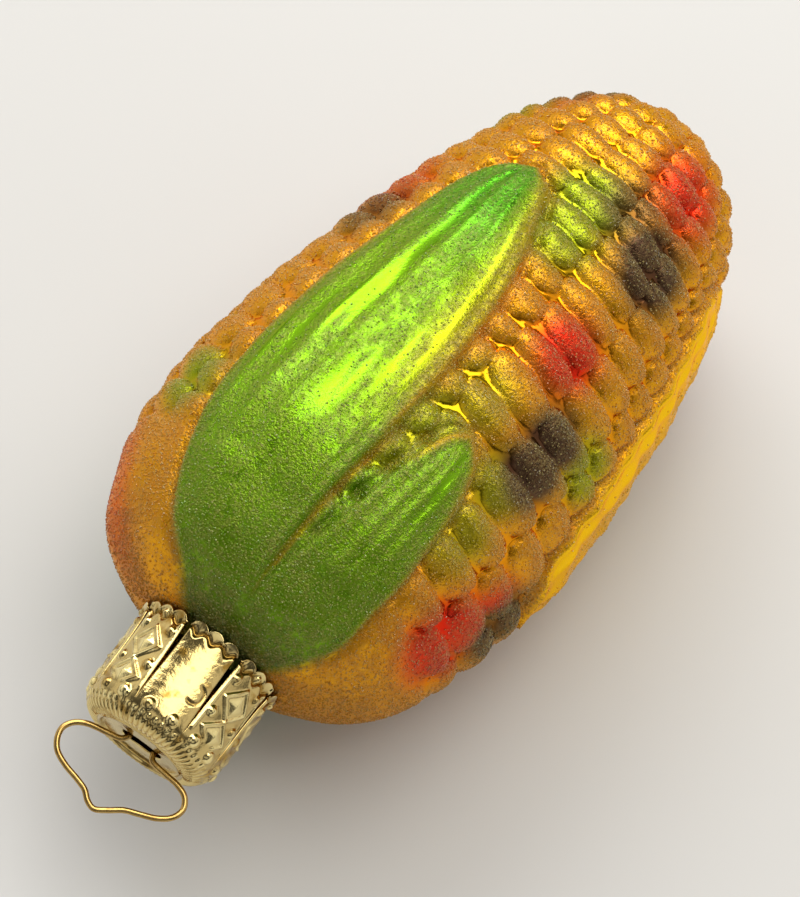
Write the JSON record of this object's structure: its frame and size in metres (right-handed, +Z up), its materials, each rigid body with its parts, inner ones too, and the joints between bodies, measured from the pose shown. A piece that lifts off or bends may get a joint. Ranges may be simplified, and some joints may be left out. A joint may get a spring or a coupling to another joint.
{
  "type": "glass corn cob christmas ornament",
  "caption": "Hollow blown-glass corn cob ornament with husk leaves and kernel rows, a crown cap over its neck and a wire loop to hang it by.",
  "frame": {"origin": "on the surface that the ornament lies on, under the middle of its bounding box", "axes": "+Z up; the ornament lies on its side with its long axis along X, the cap and hanger towards -X and the cob's tip towards +X; the large green husk leaf is on top"},
  "size_m": [0.106, 0.048, 0.0472],
  "materials": {
    "lacquered_glass": "silvered inside, transparent orange, green, red and violet-brown lacquer outside, dusted with clear sugar-like grains",
    "gold_stamping": "thin stamped sheet with a bright pale-gold lacquer, embossed beads, flutes and lozenges",
    "brass_wire": "drawn, bright, lightly marked"
  },
  "bodies": {
    "root": {"glass_body": "lacquered_glass", "cap": "gold_stamping", "hanger_wire": "brass_wire"}
  },
  "joints": []
}
